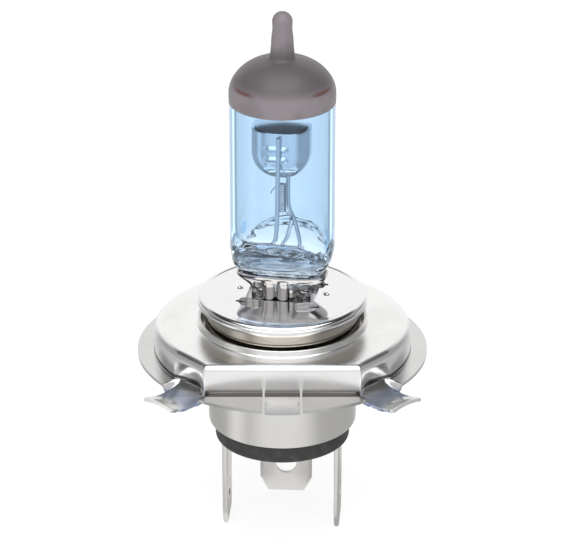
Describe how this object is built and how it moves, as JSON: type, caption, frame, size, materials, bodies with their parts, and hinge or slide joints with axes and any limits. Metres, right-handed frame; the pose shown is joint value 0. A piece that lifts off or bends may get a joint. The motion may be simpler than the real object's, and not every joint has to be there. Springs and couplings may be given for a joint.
{
  "type": "headlight bulb",
  "caption": "Twin-filament halogen headlight bulb: blue-tinted glass tube with a grey coated tip, polished focus plate, flanged locating ring with lugs, and blade terminals.",
  "frame": {"origin": "centre of the reference plane: the lamp's axis at the glass-side face of the flange", "axes": "+Z along the lamp's axis to the exhaust tip, -Y the flat side of the ring, +X to the right seen from the flat"},
  "size_m": [0.043, 0.0476, 0.0815],
  "materials": {
    "ring_steel": "satin nickel-plated steel, worn bright on the edges",
    "shell_steel": "satin drawn steel",
    "cup_steel": "polished drawn steel with a warm cast",
    "plate_steel": "mirror-bright rolled steel",
    "clamp_steel": "bright spring steel",
    "blue_quartz": "clear quartz with a light blue tint that fades towards the pinch",
    "tip_coating": "opaque warm grey anti-glare paint",
    "molybdenum": "bright molybdenum sheet and wire",
    "tungsten": "drawn tungsten coil",
    "lead_metal": "plain lead wire",
    "tinned_blade": "tin-plated brass, satin",
    "insulator_plastic": "charcoal moulded plastic"
  },
  "bodies": {
    "root": {"flange_ring": "ring_steel", "base_shell": "shell_steel", "focus_cup": "cup_steel", "focus_plate": "plate_steel", "pinch_clamp": "clamp_steel", "glass_envelope": "blue_quartz", "anti_glare_cap": "tip_coating", "dipped_beam_shield": "molybdenum", "high_beam_filament": "tungsten", "low_beam_filament": "tungsten", "shield_support_wire": "molybdenum", "high_beam_support_wire": "molybdenum", "low_beam_support_wire": "molybdenum", "foil_left": "molybdenum", "foil_middle": "molybdenum", "foil_right": "molybdenum", "lead_wire_left": "lead_metal", "lead_wire_middle": "lead_metal", "lead_wire_right": "lead_metal", "terminal_left": "tinned_blade", "terminal_middle": "tinned_blade", "terminal_right": "tinned_blade", "base_insulator": "insulator_plastic"}
  },
  "joints": []
}
